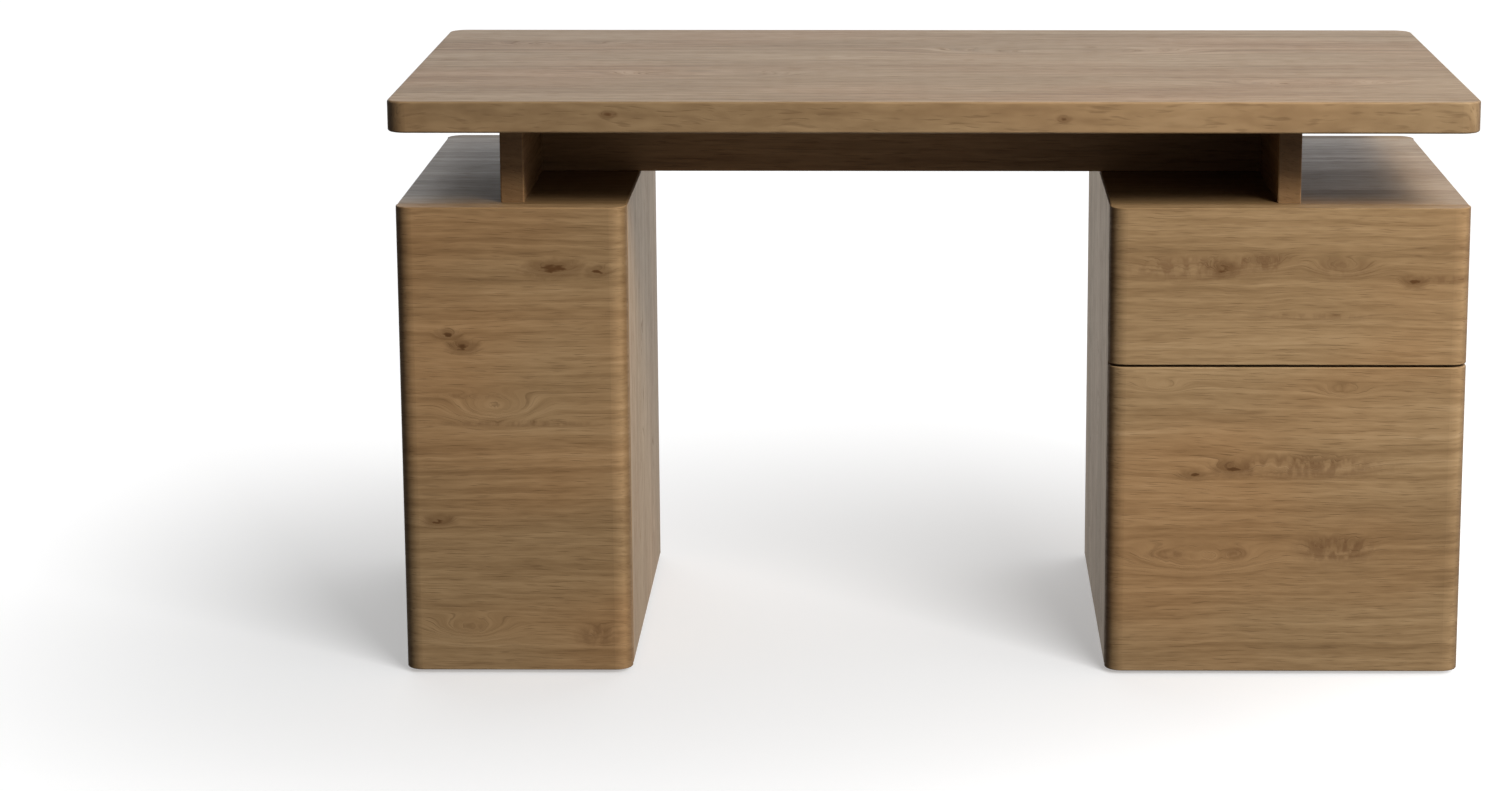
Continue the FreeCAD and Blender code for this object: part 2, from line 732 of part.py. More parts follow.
def dovetail(name, x, end, number, tails):
    """One tail of a box side, narrow where it leaves the side and wide at its end."""
    outer, inner, holes = end
    pitch = f"({name}_box_high - {name}_box_low) / {tails}"
    middle = f"{name}_box_low + {pitch} * ({number} + 1 / 2)"
    wide = "tail_width / 2"
    narrow = "(tail_width / 2 - tail_taper)"
    near, far = (wide, narrow) if outer == "front_back" else (narrow, wide)
    low_y, high_y = (outer, inner) if outer == "front_back" else (inner, outer)
    item = doc.addObject("Part::Wedge", f"{name}_tail")
    bind(item, Xmin=x[0], X2min=x[0], Xmax=x[1], X2max=x[1], Ymin=low_y, Ymax=high_y,
         Zmin=f"{middle} - {near}", Zmax=f"{middle} + {near}",
         Z2min=f"{middle} - {far}", Z2max=f"{middle} + {far}")
    return item


def drawer_bottom(name, spare):
    """The bottom panel, or with some play the grooves that it slides into."""
    reach = f"(box_wall - groove_depth - {spare})"
    low = f"{name}_box_low + box_bottom_lift"
    return block(f"{name}_bottom_panel", (f"box_low + {reach}", f"box_high - {reach}"),
                 (f"front_back + {reach}", f"box_back - {reach}"),
                 (f"{low} - {spare}", f"{low} + box_bottom_thickness + {spare}"))


def front_screws(name, spare):
    """Four pan-head screws from inside the box into the drawer's front."""
    seat = "front_back + box_wall"
    screws = []
    for x in ("box_low + box_wall + front_screw_margin", "box_high - box_wall - front_screw_margin"):
        for z in (f"{name}_box_low + box_bottom_lift + box_bottom_thickness + front_screw_margin",
                  f"{name}_box_high - front_screw_margin"):
            shank = rod("front_screw_shank", "-y", (x, seat, z), f"front_screw_radius + {spare}",
                        f"front_screw_length + {spare}")
            head = rod("front_screw_head", "y", (x, seat, z), "front_screw_head_radius",
                       "front_screw_head_height")
            screws.append(fuse("front_screw", [shank, head]))
    return screws


def file_rails(spare):
    """Two flat rails that hang letter folders, standing in notches of the box ends."""
    low = f"file_box_high - rail_seat_depth - {spare}"
    rails = []
    inset = "box_wall + rail_side_room + rail_thickness / 2"
    half = f"(rail_thickness / 2 + {spare})"
    for x in (f"box_low + {inset}", f"box_high - ({inset})"):
        rails.append(block("file_rail", (f"{x} - {half}", f"{x} + {half}"),
                           (f"front_back + box_wall - rail_seat_reach - {spare}",
                            f"box_back - box_wall + rail_seat_reach + {spare}"),
                           (low, f"file_box_high - rail_seat_depth + rail_height + {spare}")))
    return rails


def rail_seats():
    return file_rails("groove_play")


def make_divider():
    divider = block("drawer_divider", ("right_inside_low", "right_inside_high"),
                    ("case_front", "case_front + divider_depth"),
                    ("divider_middle - divider_thickness / 2", "divider_middle + divider_thickness / 2"))
    piece("drawer_divider", divider)


# The telescopic slides: three steel sections that hold each other and run out one from the other

def both_halves(lower_half):
    """An outline from its lower half, mirrored about the slide's centre line."""
    upper_half = [(u, f"-({v})") for u, v in reversed(lower_half)]
    return tuple(lower_half) + tuple(upper_half)


OUTER_HALF = "slide_height / 2"
OUTER_LIP = f"({OUTER_HALF} - slide_steel - slide_lip)"
MIDDLE_HALF = f"({OUTER_HALF} - slide_steel - slide_play)"
MIDDLE_STEP = f"({OUTER_LIP} - slide_play)"
MIDDLE_LIP = f"({MIDDLE_STEP} - slide_steel - slide_lip)"
MIDDLE_WEB = "(slide_steel + slide_play)"
MIDDLE_WALL = "(slide_outer_depth - slide_steel - slide_play)"
INNER_HALF = f"({MIDDLE_LIP} - slide_play)"
INNER_FOOT = f"({MIDDLE_HALF} - slide_steel - slide_play)"
INNER_EDGE = f"({MIDDLE_WALL} - slide_steel * 2 - slide_play)"


def cabinet_section():
    """A channel on the case side, with lips turned in."""
    lower = [("0", f"-{OUTER_HALF}"), ("slide_outer_depth", f"-{OUTER_HALF}"),
             ("slide_outer_depth", f"-{OUTER_LIP}"), ("slide_outer_depth - slide_steel", f"-{OUTER_LIP}"),
             ("slide_outer_depth - slide_steel", f"-{OUTER_HALF} + slide_steel"),
             ("slide_steel", f"-{OUTER_HALF} + slide_steel")]
    return both_halves(lower)


def middle_section():
    """A stepped channel that runs behind the outer lips and has lips of its own."""
    end = "slide_middle_depth"
    lower = [(MIDDLE_WEB, f"-{MIDDLE_HALF}"), (MIDDLE_WALL, f"-{MIDDLE_HALF}"),
             (MIDDLE_WALL, f"-{MIDDLE_STEP}"), (end, f"-{MIDDLE_STEP}"), (end, f"-{MIDDLE_LIP}"),
             (f"{end} - slide_steel", f"-{MIDDLE_LIP}"),
             (f"{end} - slide_steel", f"-{MIDDLE_STEP} + slide_steel"),
             (f"{MIDDLE_WALL} - slide_steel", f"-{MIDDLE_STEP} + slide_steel"),
             (f"{MIDDLE_WALL} - slide_steel", f"-{MIDDLE_HALF} + slide_steel"),
             (f"{MIDDLE_WEB} + slide_steel", f"-{MIDDLE_HALF} + slide_steel")]
    return both_halves(lower)


def drawer_section():
    """A hat on the drawer's side, whose feet run behind the step of the middle member."""
    lower = [("slide_thickness", f"-{INNER_HALF}"), (f"{INNER_EDGE} + slide_steel", f"-{INNER_HALF}"),
             (f"{INNER_EDGE} + slide_steel", f"-{INNER_FOOT}"), (INNER_EDGE, f"-{INNER_FOOT}"),
             (INNER_EDGE, f"-{INNER_HALF} + slide_steel"),
             ("slide_thickness - slide_steel", f"-{INNER_HALF} + slide_steel")]
    return both_halves(lower)


def slide_slots(name, near, far):
    """Long screw slots through the web of a member."""
    slots = []
    through = f"({far}) - ({near})"
    for y in ("slide_front + slide_slot_margin", "slide_back - slide_slot_margin"):
        long = "(slide_slot_length - slide_slot_width) / 2"
        z = f"{name}_slide_centre"
        solids = [rod("slot_end", "x", (near, f"{y} {end} {long}", z), "slide_slot_width / 2", through)
                  for end in "-+"]
        solids.append(block("slot_middle", (near, far), (f"{y} - {long}", f"{y} + {long}"),
                            (f"{z} - slide_slot_width / 2", f"{z} + slide_slot_width / 2")))
        slots.append(fuse("slide_slot", solids))
    return slots


def make_slides(name):
    sections = {
        "cabinet": (cabinet_section(), "right_inside_low - overrun",
                    "right_inside_low + slide_steel + slide_play / 2"),
        "middle": (middle_section(), None, None),
        "drawer": (drawer_section(), "box_low - slide_steel - slide_play", "box_low + overrun"),
    }
    for member, (outline, near, far) in sections.items():
        label = f"{name}_slide_{member}_members"
        start = ("right_inside_low", "slide_back", f"{name}_slide_centre")
        left = prism(f"{name}_{member}_member", "XZ_Plane", outline, "slide_back - slide_front", start)
        if near:
            left = cut(f"{name}_{member}_slotted", left, slide_slots(name, near, far))
        right = mirror(f"{name}_{member}_mirrored", left, "right_middle")
        piece(label, group(label, [left, right]))


fill_sheet("Sizes", SIZES)
places = fill_sheet("Places", PLACES)
make_desktop()
make_inserts()
make_bolts()
make_frame()
make_case("left", "left_outer_side", "left_inner_side")
make_case("right", "right_inner_side", "right_outer_side")
make_back_dowels()
make_shelf()
make_door()
make_hinges()
make_catches()
make_divider()
make_drawer("upper", "upper_drawer_front", "upper_front_low", "pedestal_height", UPPER_TAILS)
make_drawer("file", "file_drawer_front", "case_bottom", "file_front_high", FILE_TAILS)
piece("file_rails", group("file_rails", file_rails("0")))
make_slides("upper")
make_slides("file")
doc.recompute()

failed = [item.Name for item in doc.Objects if {"Invalid", "Error"} & set(item.State)]
failed += [item.Label for item in pieces if item.Shape.isNull() or not item.Shape.isValid()]
if failed:
    raise RuntimeError("these objects failed: " + ", ".join(failed))
os.makedirs("parts", exist_ok=True)
for item in pieces:
    item.Shape.exportStep(f"parts/{item.Label}.step")
print(len(pieces), "pieces written")
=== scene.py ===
# %% [markdown]
# # An oak desk with a floating top
# The desk is a thick oak slab that stands on two risers and a beam, clear of the two pedestals below it.
# The left pedestal is a cabinet with a door, and the right one holds two drawers.
# The solids come ready made with their joints, so this lesson is about the camera, light and finishes.

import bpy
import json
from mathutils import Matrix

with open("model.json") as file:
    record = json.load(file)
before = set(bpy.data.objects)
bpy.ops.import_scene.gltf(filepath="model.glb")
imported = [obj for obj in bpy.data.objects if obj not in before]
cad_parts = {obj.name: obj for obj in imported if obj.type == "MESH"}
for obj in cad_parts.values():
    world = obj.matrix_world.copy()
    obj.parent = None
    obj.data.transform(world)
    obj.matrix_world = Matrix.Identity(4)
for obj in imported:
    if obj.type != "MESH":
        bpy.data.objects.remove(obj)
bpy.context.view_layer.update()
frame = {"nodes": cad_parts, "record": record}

# %% [markdown]
# ## The camera
# The desk was seen from straight in front, a little above the slab, through a long lens.
# A camera is placed by hand or by fitting known corners of the object to the picture.
# The place below comes from such a fit. A small shift of the lens puts the desk right of the middle and
# a little high, without turning the camera away from it.

# %% Camera values
import bpy
from mathutils import Euler

EYE_PLACE = (-0.0344, -5.0, 1.444)
EYE_TILT_DOWN = 0.2119
EYE_TURN_LEFT = 0.0057
LENS_MM = 90.1
SENSOR_MM = 36.0
SIDE_SHIFT_SHARE = -0.0899
UP_SHIFT_SHARE = -0.03
QUARTER_TURN = 1.5707963
print("lens", LENS_MM, "mm, eye height", EYE_PLACE[2], "m")

# %% Make the camera
scene = bpy.context.scene
eye_data = bpy.data.cameras.new("eye")
eye_data.lens = LENS_MM
eye_data.sensor_width = SENSOR_MM
eye_data.shift_x = SIDE_SHIFT_SHARE
eye_data.shift_y = UP_SHIFT_SHARE
eye = bpy.data.objects.new("eye", eye_data)
eye.location = EYE_PLACE
eye.rotation_euler = Euler((QUARTER_TURN - EYE_TILT_DOWN, 0.0, EYE_TURN_LEFT))
scene.collection.objects.link(eye)
scene.camera = eye
print("camera", eye.name, "at", EYE_PLACE)

# %% [markdown]
# ## Helpers for node trees
# Every finish here is a tree of nodes. Wiring nodes one by one is long to read, so a few small helpers do
# it: one feeds a socket with a number or with another node, one adds a node, one does a sum, one splits a
# place or direction into its parts, one makes a soft step, and one starts a new finish.

# %% Helpers: feed a socket, add a node, do a sum
def feed(tree, socket, source):
    """A socket takes either a fixed value or the output of another node."""
    if isinstance(source, bpy.types.NodeSocket):
        tree.links.new(source, socket)
    else:
        socket.default_value = source


def add_node(tree, kind, sockets=None, **settings):
    node = tree.nodes.new("ShaderNode" + kind)
    for setting, choice in settings.items():
        setattr(node, setting, choice)
    for socket, source in (sockets or {}).items():
        feed(tree, node.inputs[socket], source)
    return node


def sum_of(tree, operation, *terms):
    node = add_node(tree, "Math", dict(enumerate(terms)), operation=operation)
    return node.outputs[0]


print("node helpers ready")

# %% Helpers: the parts of a vector, a soft step and a new finish
WHOLE = 1.0


def parts_of(tree, vector, axes="XYZ"):
    parts = add_node(tree, "SeparateXYZ", {0: vector})
    return [parts.outputs[axis] for axis in axes]


def slope(tree, source, step, start=0.0, end=WHOLE):
    """Turns the stretch between the two values of a step into a soft rise from start to end."""
    low, high = step
    sockets = {"Value": source, "From Min": low, "From Max": high, "To Min": start, "To Max": end}
    return add_node(tree, "MapRange", sockets, interpolation_type="SMOOTHSTEP").outputs["Result"]


def new_finish(name):
    """A plain finish, the tree of its nodes, and the shader that the tree feeds."""
    finish = bpy.data.materials.new(name)
    finish.use_nodes = True
    tree = finish.node_tree
    return finish, tree, tree.nodes["Principled BSDF"]


print("parts, soft step and new finish ready")

# %% [markdown]
# ## The studio
# The desk stands on a pale floor that runs out to white.
# A plain white world would light every side alike, but the desk's left edges are nearly black, as beside
# a black screen. So the world is bright behind and on the right, and dark in front and at the far left.
# The white floor would fill in those dark edges, so it is kept out of the bounced light. The world below the
# horizon shines in its place, and warmly, as a floor does beside oak: the waxed sides mirror it.

# %% Floor: a square and its paint
FLOOR_REACH = 40.0
FLOOR_PALE = (0.78, 0.78, 0.78, 1.0)
FLOOR_DULL = (0.75, 0.75, 0.75, 1.0)
FLOOR_ROUGH = 0.9
FLOOR_SHINE = 0.1
CLOUDS_ON_PAINT_PER_M = 0.7
NEAR_DESK, FAR_FROM_DESK = 0.5, 1.6
NEAR_GLOW, FAR_GLOW = 0.33, 0.68
DIM_MIDDLE = (-0.30, -0.25, 0.0)


def matt_paint(name, dull, pale):
    """Dead flat paint with slow clouds in its shade. It glows, a painted light, faintly near the desk and
    most of all far from it.
    """
    paint, tree, shader = new_finish(name)
    place = add_node(tree, "TexCoord").outputs["Object"]
    clouds = add_node(tree, "TexNoise", {"Vector": place, "Scale": CLOUDS_ON_PAINT_PER_M})
    ramp = add_node(tree, "ValToRGB", {"Fac": clouds.outputs[0]})
    ramp.color_ramp.elements[0].color = dull
    ramp.color_ramp.elements[1].color = pale
    feed(tree, shader.inputs["Base Color"], ramp.outputs[0])
    feed(tree, shader.inputs["Roughness"], FLOOR_ROUGH)
    feed(tree, shader.inputs["Specular IOR Level"], FLOOR_SHINE)
    far = add_node(tree, "VectorMath", {0: place, 1: DIM_MIDDLE}, operation="DISTANCE").outputs["Value"]
    glow = slope(tree, far, (NEAR_DESK, FAR_FROM_DESK), NEAR_GLOW, FAR_GLOW)
    # The glow is painted light: it lifts the floor's shadows near the desk a little and turns the far floor
    # white.
    feed(tree, shader.inputs["Emission Strength"], glow)
    return paint


print("floor paint ready")

# %% Floor: lay it down
CORNER_SIGNS = ((-1, -1), (1, -1), (1, 1), (-1, 1))
floor_mesh = bpy.data.meshes.new("floor")
floor_corners = [(x * FLOOR_REACH, y * FLOOR_REACH, 0.0) for x, y in CORNER_SIGNS]
floor_mesh.from_pydata(floor_corners, [], [(0, 1, 2, 3)])
floor = bpy.data.objects.new("floor", floor_mesh)
scene.collection.objects.link(floor)
floor.visible_diffuse = False
floor.visible_glossy = False
floor_mesh.materials.append(matt_paint("floor_paint", FLOOR_DULL, FLOOR_PALE))
print("floor reaches", FLOOR_REACH, "m each way")

# %% World: how bright each part is, and between which directions it fades
GLOW_EVERYWHERE = 0.12
GLOW_BEHIND = 1.1
GLOW_RIGHT = 0.85
GLOW_UNDER = 1.0
UNDER_RIGHT_SHARE = 0.45
NEAR_FLOOR_SHARE = 0.5
OFF_LEFT_SHARES = (-0.8, -0.3)
BEHIND_SHARES = (0.0, 0.7)
RIGHT_SHARES = (0.0, 1.0)
ABOVE_FLOOR_SHARES = (-0.03, 0.12)
UNDER_BEHIND_SHARES = (-0.2, 0.4)
UNDER_RIGHT_SHARES = (-0.3, 0.4)
FAR_FLOOR_SHARES = (0.05, -0.14)
NEAR_FLOOR_SHARES = (-0.16, -0.32)
ROOM_WHITE = (0.8, 0.8, 0.8, 1.0)
WARM_FLOOR = (0.78, 0.68, 0.57, 1.0)
BACKDROP_WHITE = (1.0, 1.0, 1.0, 1.0)
print("world glow behind", GLOW_BEHIND, "right", GLOW_RIGHT, "below", GLOW_UNDER)

# %% World: the glow of the room and of the floor
def room_glow(sky, x, y, z, off_left):
    """Bright behind and on the right, down to the horizon."""
    behind = sum_of(sky, "MULTIPLY", slope(sky, y, BEHIND_SHARES, 0.0, GLOW_BEHIND), off_left)
    right = slope(sky, x, RIGHT_SHARES, 0.0, GLOW_RIGHT)
    above_floor = slope(sky, z, ABOVE_FLOOR_SHARES)
    above = sum_of(sky, "MULTIPLY", sum_of(sky, "ADD", behind, right), above_floor)
    return sum_of(sky, "ADD", above, GLOW_EVERYWHERE)


def floor_glow(sky, x, y, z, off_left):
    """Below the horizon: brightest far off, and dimmer underfoot."""
    behind = sum_of(sky, "MULTIPLY", slope(sky, y, UNDER_BEHIND_SHARES), off_left)
    right = slope(sky, x, UNDER_RIGHT_SHARES, 0.0, UNDER_RIGHT_SHARE)
    far_floor = slope(sky, z, FAR_FLOOR_SHARES, 0.0, GLOW_UNDER)
    near_floor = slope(sky, z, NEAR_FLOOR_SHARES, WHOLE, NEAR_FLOOR_SHARE)
    below = sum_of(sky, "MULTIPLY", far_floor, near_floor)
    return sum_of(sky, "MULTIPLY", sum_of(sky, "MAXIMUM", behind, right), below)


print("room and floor glow ready")

# %% World: put it together, with a white backdrop for the eye
world = bpy.data.worlds.new("studio")
scene.world = world
world.use_nodes = True
sky = world.node_tree
sky.nodes.clear()
outward = add_node(sky, "TexCoord").outputs["Generated"]
heading = parts_of(sky, outward)
off_left = slope(sky, heading[0], OFF_LEFT_SHARES)
room_sockets = {"Color": ROOM_WHITE, "Strength": room_glow(sky, *heading, off_left)}
floor_sockets = {"Color": WARM_FLOOR, "Strength": floor_glow(sky, *heading, off_left)}
room_light = add_node(sky, "Background", room_sockets).outputs[0]
floor_light = add_node(sky, "Background", floor_sockets).outputs[0]
lighting = add_node(sky, "AddShader", {0: room_light, 1: floor_light}).outputs[0]
backdrop = add_node(sky, "Background", {"Color": BACKDROP_WHITE, "Strength": WHOLE}).outputs[0]
seen = add_node(sky, "LightPath").outputs["Is Camera Ray"]
shown = add_node(sky, "MixShader", {0: seen, 1: lighting, 2: backdrop}).outputs[0]
add_node(sky, "OutputWorld", {"Surface": shown})
scene.view_settings.view_transform = "Standard"
print("world", world.name, "with", len(sky.nodes), "nodes")

# %% [markdown]
# ## The lamps
# A soft box high at the front right lights the desk in a studio like this one.
# Here three lamps share its work. The key lamp is small, for crisp shadows in the wood, and gives no shine,
# as its mirror image would burn out the slab when seen from behind. A wide weak one gives the shine.
# A large low one lights the floor alone, so that the shadow on the floor stays as soft as it should be.

# %% Lamps: one for the wood, one for its shine and one for the floor
from mathutils import Vector

DESK_MIDDLE = Vector((0.0, 0.0, 0.4))
SOFT_BOX_PLACE = Vector((2.0, -2.65, 3.05))
SOFT_BOX_SIDE = 1.2
SOFT_BOX_WATTS = 236.0
SHINE_BOX_SIDE = 2.4
SHINE_BOX_WATTS = 45.0
FLOOR_LAMP_PLACE = Vector((1.9, -3.5, 1.9))
FLOOR_LAMP_SIDE = 2.4
FLOOR_LAMP_WATTS = 200.0


def soft_lamp(name, place, side, watts, floor_state, shine):
    """A square soft box aimed at the desk, which either leaves out the floor or lights only the floor."""
    lamp_data = bpy.data.lights.new(name, "AREA")
    lamp_data.energy = watts
    lamp_data.size = side
    lamp = bpy.data.objects.new(name, lamp_data)
    lamp.location = place
    lamp.rotation_euler = (place - DESK_MIDDLE).to_track_quat("Z", "Y").to_euler()
    lamp.visible_camera = False
    lamp.visible_glossy = shine
    scene.collection.objects.link(lamp)
    listed = bpy.data.collections.new(name + "_list")
    listed.objects.link(floor)
    listed.collection_objects[0].light_linking.link_state = floor_state
    lamp.light_linking.receiver_collection = listed
    print("lamp:", name, watts, "W")


soft_lamp("soft_box", SOFT_BOX_PLACE, SOFT_BOX_SIDE, SOFT_BOX_WATTS, "EXCLUDE", shine=False)
soft_lamp("shine_box", SOFT_BOX_PLACE, SHINE_BOX_SIDE, SHINE_BOX_WATTS, "EXCLUDE", shine=True)
soft_lamp("floor_lamp", FLOOR_LAMP_PLACE, FLOOR_LAMP_SIDE, FLOOR_LAMP_WATTS, "INCLUDE", shine=False)

# %% [markdown]
# ## Oak
# Oak is a stack of growth rings sawn through: the lines on a board are where its face cuts the rings.
# An image texture could be wrapped round each board, but it stretches on the rounded corners.
# Here the rings are a height worked out in metres from where a point is in the board, as on a map:
# the lines are its contours. A hill in that height makes the closed loops of a cathedral figure or a knot.

# %% A board's own directions: along the grain, across the face, into the thickness
NO_SHIFT = (0.0, 0.0, 0.0)


def board_place(tree, directions, shift=NO_SHIFT):
    parts = parts_of(tree, add_node(tree, "TexCoord").outputs["Object"], directions)
    turned = add_node(tree, "CombineXYZ", dict(enumerate(parts)))
    moved = add_node(tree, "VectorMath", {0: turned.outputs[0], 1: shift}, operation="ADD")
    return moved.outputs[0]


def stretched(tree, place, counts_per_m):
    return add_node(tree, "VectorMath", {0: place, 1: counts_per_m}, operation="MULTIPLY").outputs[0]


print("grain directions ready")

# %% Patterns: noise with so many spots to the metre, centred, and added up by weight
COARSE_LAYERS, PLAIN_LAYERS, FINE_LAYERS, FINEST_LAYERS = 1.0, 2.0, 3.0, 4.0
EVEN_SHARE = 0.5
GRITTY_SHARE = 0.6
MIDDLE_SHARE = 0.5


def noise(tree, place, counts_per_m, layers=PLAIN_LAYERS, rough_share=EVEN_SHARE):
    spots = stretched(tree, place, counts_per_m)
    sockets = {"Vector": spots, "Scale": WHOLE, "Detail": layers, "Roughness": rough_share}
    return add_node(tree, "TexNoise", sockets).outputs[0]


def centred(tree, pattern):
    """A pattern that runs from 0 to 1 comes out from minus a half to a half."""
    return sum_of(tree, "SUBTRACT", pattern, MIDDLE_SHARE)


def weighed(tree, patterns, start):
    """Adds each pattern, times its weight, to a start."""
    total = start
    for pattern, weight in patterns:
        total = sum_of(tree, "MULTIPLY_ADD", pattern, weight, total)
    return total


print("pattern helpers ready")

# %% Hills in the grain: knots, cathedral figures and curly patches
from collections import namedtuple

# Along, across and deep place the middle; length, width and thick are half sizes; lift is how far it pushes
# the lines; heart is the share of the hill that is dark knot, curl the depth of crinkled lines inside it,
# and stain how dark the crinkles are.
Figure = namedtuple("Figure", "along across length width lift heart curl stain deep thick",
                    defaults=(0.0, 0.0, 0.0, 0.0, 0.0))
AT_RIM, AT_MIDDLE = 1.0, 0.0
GRIT_SHARE = 0.85
RIM_SHARE = 0.25
HALO_SHARE = 0.42
STAIN_RIM_SHARES = (1.0, 0.45)
CRINKLE_SHARES = (-0.10, 0.12)
STAIN_GAP_SHARE = 0.25


def away_from(tree, place, figure):
    """How far a point is from the middle of a figure: 0 in the middle and 1 at its rim."""
    middle = (figure.along, figure.across, figure.deep)
    counts = [AT_RIM / half if half else 0.0 for half in (figure.length, figure.width, figure.thick)]
    offset = add_node(tree, "VectorMath", {0: place, 1: middle}, operation="SUBTRACT").outputs[0]
    sized = stretched(tree, offset, counts)
    return add_node(tree, "VectorMath", {0: sized}, operation="LENGTH").outputs["Value"]


def knot_dark(tree, far, grit, heart):
    """A ragged dark heart in a fainter halo."""
    ragged = sum_of(tree, "MULTIPLY_ADD", grit, GRIT_SHARE, far)
    core = slope(tree, ragged, (heart, heart * RIM_SHARE))
    halo = slope(tree, ragged, (AT_RIM, heart), 0.0, HALO_SHARE)
    return sum_of(tree, "MAXIMUM", core, halo)


def stain_dark(tree, far, crinkle, stain):
    """A band of upright crinkles that fades at its rim."""
    band = slope(tree, sum_of(tree, "ADD", far, crinkle), STAIN_RIM_SHARES)
    streaked = slope(tree, crinkle, CRINKLE_SHARES, STAIN_GAP_SHARE * stain, stain)
    return sum_of(tree, "MULTIPLY", band, streaked)


print("knot and stain helpers ready")

# %% All the figures of a board
GRIT_PER_M = (70.0, 190.0, 70.0)
CURLS_PER_M = (95.0, 45.0, 20.0)


def add_figures(tree, place, height, figures):
    """Raises the height under each figure, and gathers the dark of the knots and of the stains."""
    knots = 0.0
    stains = 0.0
    grit = centred(tree, noise(tree, place, GRIT_PER_M))
    crinkle = centred(tree, noise(tree, place, CURLS_PER_M))
    for figure in figures:
        far = away_from(tree, place, figure)
        near = slope(tree, far, (AT_RIM, AT_MIDDLE))
        height = sum_of(tree, "MULTIPLY_ADD", near, figure.lift, height)
        if figure.curl:
            deep = sum_of(tree, "MULTIPLY", crinkle, figure.curl)
            height = sum_of(tree, "MULTIPLY_ADD", deep, near, height)
        if figure.heart:
            knots = sum_of(tree, "MAXIMUM", knots, knot_dark(tree, far, grit, figure.heart))
        if figure.stain:
            stains = sum_of(tree, "MAXIMUM", stains, stain_dark(tree, far, crinkle, figure.stain))
    return height, knots, stains


print("figure helper ready")

# %% Colours of oiled oak
OAK_TONES = ((0.20, (0.110, 0.062, 0.026)), (0.42, (0.193, 0.117, 0.052)),
             (0.58, (0.253, 0.161, 0.076)), (0.82, (0.338, 0.228, 0.118)))
KNOT_BROWN = (0.080, 0.035, 0.011)
STAIN_BROWN = (0.100, 0.046, 0.018)
END_BROWN = (0.098, 0.052, 0.021)
PORE_BROWN = (0.090, 0.047, 0.019)
# The sockets of a colour mix are found by number, as several of them share a name.
FACTOR_SOCKET, UNDER_SOCKET, OVER_SOCKET, RESULT_SOCKET = 0, 6, 7, 2


def colour(rgb):
    return (*rgb, WHOLE)


def tone_ramp(tree, share, tones):
    ramp = add_node(tree, "ValToRGB", {"Fac": share})
    stops = ramp.color_ramp.elements
    while len(stops) < len(tones):
        stops.new(MIDDLE_SHARE)
    for stop, (at, rgb) in zip(stops, tones):
        stop.position = at
        stop.color = colour(rgb)
    return ramp.outputs[0]


def mixed(tree, share, under, over, how="MIX"):
    sockets = {FACTOR_SOCKET: share, UNDER_SOCKET: under, OVER_SOCKET: over}
    node = add_node(tree, "Mix", sockets, data_type="RGBA", blend_type=how)
    return node.outputs[RESULT_SOCKET]


print("oak tones:", len(OAK_TONES))

# %% Oak: the lines of the grain
WANDER_PER_M = (1.1, 4.0, 4.0)
WANDER_LIFT = 0.045
RIPPLE_PER_M = (9.0, 20.0, 20.0)
RIPPLE_LIFT = 0.0075
LEAN_SHARE = 0.16


def oak_lines(tree, place, figures):
    """The height of the rings, and the place of a point measured along and across their lines."""
    along, across, deep = parts_of(tree, place)
    wander = centred(tree, noise(tree, place, WANDER_PER_M))
    ripple = noise(tree, place, RIPPLE_PER_M)
    lifts = ((deep, LEAN_SHARE), (wander, WANDER_LIFT), (ripple, RIPPLE_LIFT))
    height, knots, stains = add_figures(tree, place, weighed(tree, lifts, across), figures)
    flow = add_node(tree, "CombineXYZ", {0: along, 1: height, 2: deep}).outputs[0]
    return height, flow, knots, stains, across


print("grain lines ready")

# %% Oak: how pale or dark each point is
STAVE_WIDTH = 0.118
STAVE_SHARE = 0.09
RINGS_PER_M = 55.0
STREAKS_PER_M = (5.0, 120.0, 30.0)
DASHES_PER_M = (26.0, 230.0, 50.0)
PATCHES_PER_M = (1.8, 15.0, 12.0)
RING_SHARE = 0.36
STREAK_SHARE = 0.37
DASH_SHARE = 0.28
PATCH_SHARE = 0.34


def stave_tone(tree, across):
    """Boards this wide are glued from staves, each a shade of its own."""
    number = sum_of(tree, "FLOOR", sum_of(tree, "DIVIDE", across, STAVE_WIDTH))
    shade = add_node(tree, "TexWhiteNoise", {"W": number}, noise_dimensions="1D").outputs["Value"]
    return sum_of(tree, "MULTIPLY", centred(tree, shade), STAVE_SHARE)


def oak_share(tree, place, height, flow, across):
    """0 for the darkest late wood and 1 for the palest early wood, and about a half on the whole."""
    ring_sockets = {"W": height, "Scale": RINGS_PER_M, "Detail": FINEST_LAYERS, "Roughness": GRITTY_SHARE}
    rings = add_node(tree, "TexNoise", ring_sockets, noise_dimensions="1D").outputs[0]
    streaks = noise(tree, flow, STREAKS_PER_M, FINE_LAYERS, GRITTY_SHARE)
    dashes = noise(tree, flow, DASHES_PER_M)
    patches = noise(tree, place, PATCHES_PER_M)
    weights = ((rings, RING_SHARE), (streaks, STREAK_SHARE), (dashes, DASH_SHARE), (patches, PATCH_SHARE))
    start = sum_of(tree, "ADD", stave_tone(tree, across), MIDDLE_SHARE)
    return weighed(tree, [(centred(tree, pattern), weight) for pattern, weight in weights], start)


print("oak shading ready")

# %% Oak: end grain, and rubbed edges with a painted highlight
END_TURN_SHARES = (0.55, 0.97)
EDGE_TURN_SHARES = (0.97, 0.80)
WEAR_AND_HIGHLIGHT_PER_M = (14.0, 30.0, 30.0)
WEAR_AND_HIGHLIGHT_STEP_SHARES = (0.35, 0.65)
LEAST_WEAR_AND_HIGHLIGHT_SHARE = 0.3
WEAR_AND_HIGHLIGHT_SHARE = 0.75


